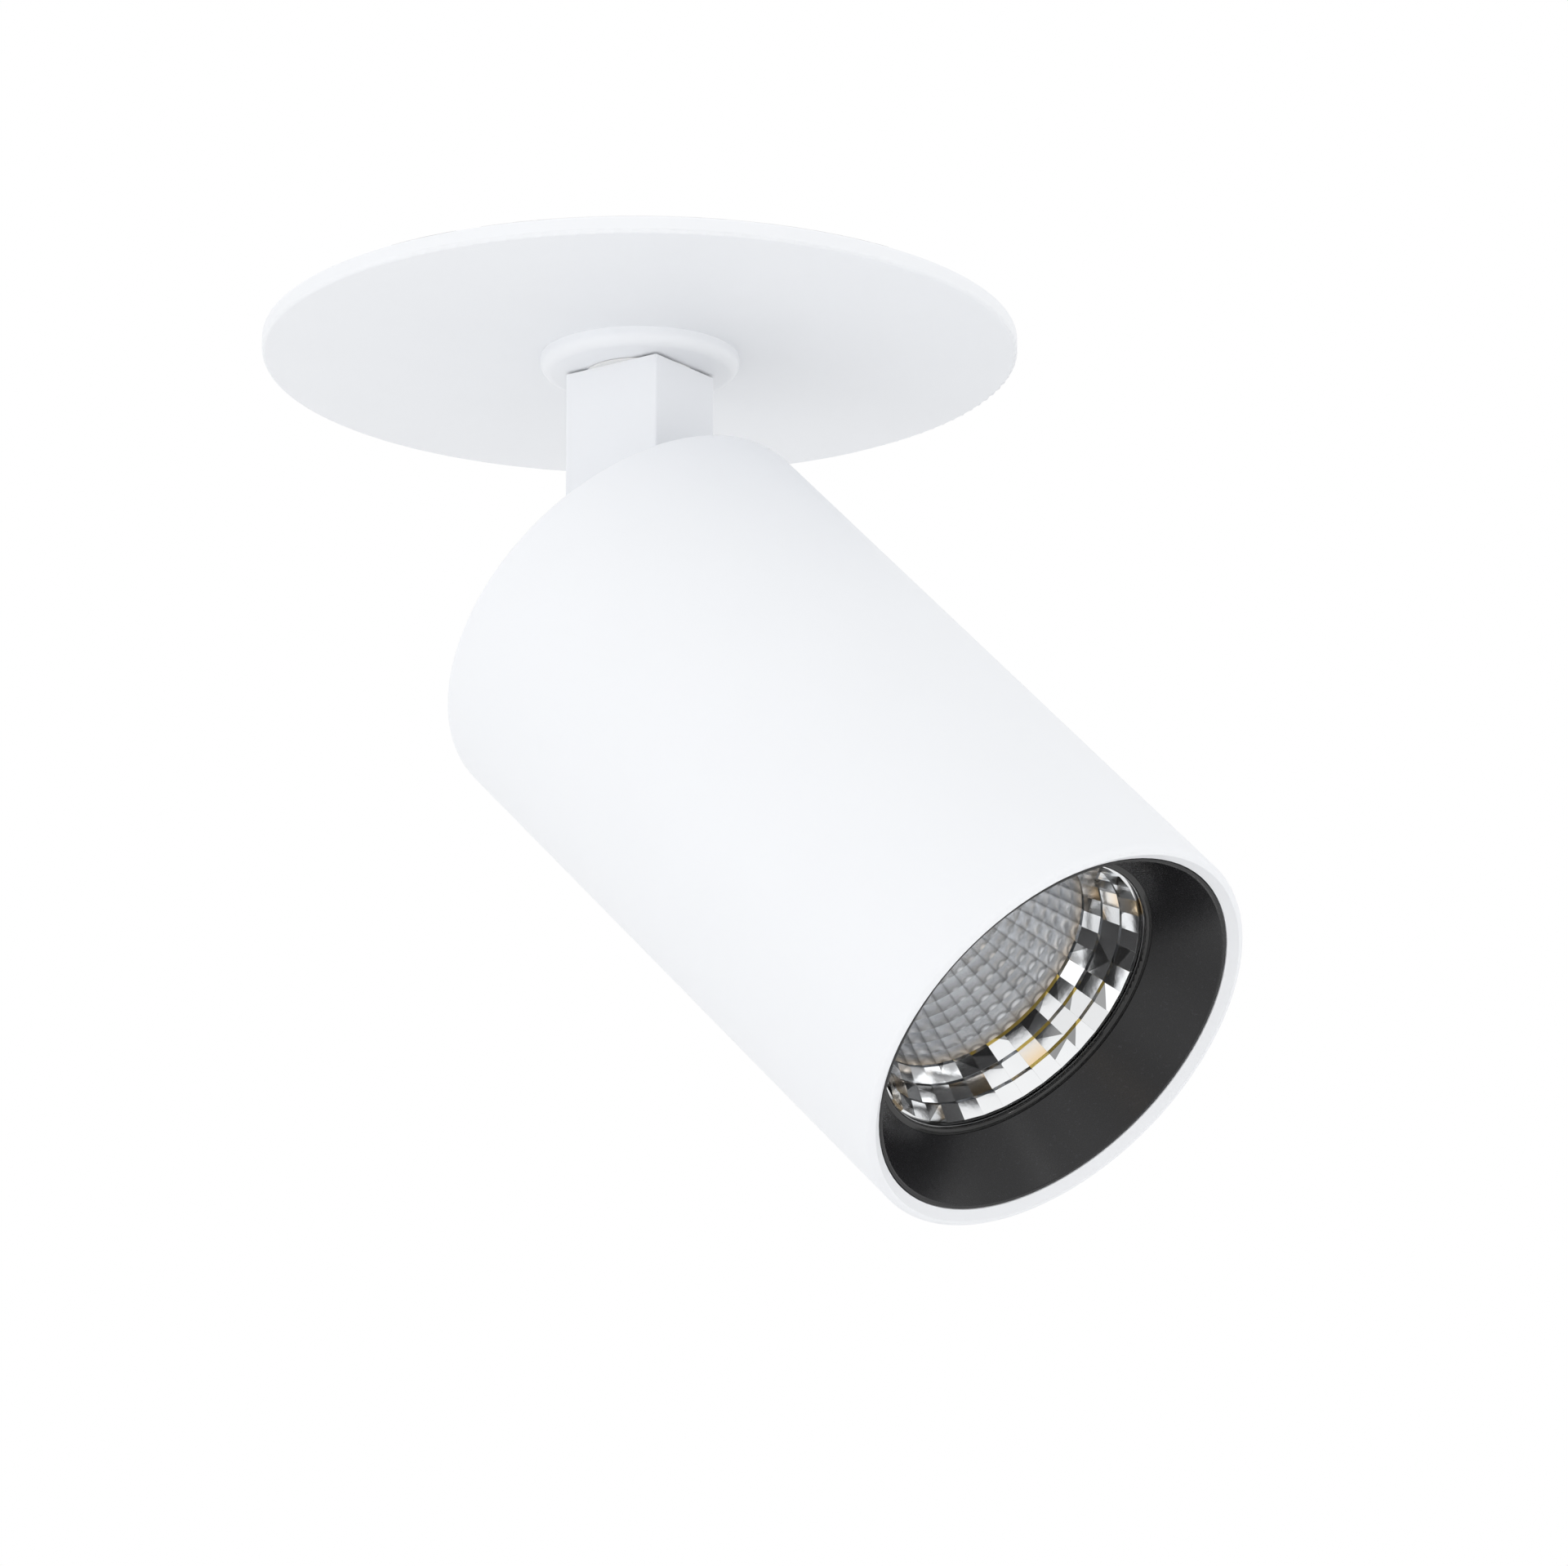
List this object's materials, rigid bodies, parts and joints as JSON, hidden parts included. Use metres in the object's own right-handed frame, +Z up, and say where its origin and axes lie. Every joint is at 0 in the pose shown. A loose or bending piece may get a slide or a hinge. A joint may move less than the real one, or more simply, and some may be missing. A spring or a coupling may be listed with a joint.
{
  "type": "recessed ceiling spotlight",
  "caption": "Recessed ceiling spotlight: a white cylinder head with a black baffle and faceted reflector tilts on a post that swivels under a round sprung-clip plate.",
  "frame": {"origin": "centre of the ceiling plate in the face that lies on the ceiling, on the axis of the spigot that goes into the cut-out", "axes": "+Z up along the swivel axis; the head tilts in the XZ plane towards +X; the spring clips stand at +Y and -Y"},
  "size_m": [0.1293, 0.1198, 0.1465],
  "materials": {
    "white_paint": "satin powder coat",
    "black_plastic": "fine matte texture",
    "black_gloss": "gloss",
    "mirror_aluminium": "bright faceted mirror",
    "zinc_steel": "zinc plated",
    "spring_steel": "bright wire",
    "brass": "plain",
    "bare_aluminium": "matt extruded",
    "white_plastic": "matte",
    "grey_plastic": "matte",
    "foam": "closed-cell foam",
    "silicone_pad": "soft",
    "phosphor": "silicone over phosphor",
    "lead_sleeve": "silicone sleeve"
  },
  "bodies": {
    "base": {"ceiling_plate": "white_paint", "plate_studs": "zinc_steel", "plate_gasket": "foam", "stop_pin": "zinc_steel", "mounting_frame": "zinc_steel", "frame_nuts": "zinc_steel", "spring_pins": "zinc_steel", "pin_rings": "zinc_steel", "terminal_block": "white_plastic", "clamp_screws": "brass", "block_screw": "zinc_steel", "swivel_collar": "white_paint", "swivel_bush": "white_plastic", "lead_terminal": "lead_sleeve"},
    "arm": {"post": "white_paint", "swivel_tube": "zinc_steel", "swivel_washer": "white_plastic", "stop_washer": "zinc_steel", "swivel_spring": "spring_steel", "swivel_nut": "zinc_steel", "pivot_screws": "zinc_steel", "friction_washers": "white_plastic", "pivot_springs": "spring_steel", "lead_post": "lead_sleeve"},
    "head": {"pivot_yoke": "zinc_steel", "yoke_screws": "zinc_steel", "head_shell": "white_paint", "rear_cap": "white_paint", "cap_screws": "zinc_steel", "cap_standoffs": "brass", "heat_sink": "bare_aluminium", "thermal_pad": "silicone_pad", "led_board": "bare_aluminium", "led_phosphor": "phosphor", "led_holder": "white_plastic", "holder_screws": "zinc_steel", "reflector": "mirror_aluminium", "retaining_ring": "black_gloss", "baffle": "black_plastic", "lead_head": "lead_sleeve"},
    "clip_left": {"clip_spring_left": "spring_steel", "clip_sleeve_left": "grey_plastic"},
    "clip_right": {"clip_spring_right": "spring_steel", "clip_sleeve_right": "grey_plastic"}
  },
  "joints": [
    {"name": "swivel", "type": "hinge", "parent": "base", "child": "arm", "pos_m": [0, 0, 0], "axis": [0, 0, 1], "range_deg": [-170, 170]},
    {"name": "head_tilt", "type": "hinge", "parent": "arm", "child": "head", "pos_m": [0, 0, -0.0446], "axis": [0, -1, 0], "range_deg": [-45, 15]},
    {"name": "clip_left_fold", "type": "hinge", "parent": "base", "child": "clip_left", "pos_m": [0, 0.027, 0.014], "axis": [1, 0, 0], "range_deg": [-25, 85], "stiffness_Nm_per_rad": 0.25},
    {"name": "clip_right_fold", "type": "hinge", "parent": "base", "child": "clip_right", "pos_m": [0, -0.027, 0.014], "axis": [-1, 0, 0], "range_deg": [-25, 85], "stiffness_Nm_per_rad": 0.25}
  ]
}
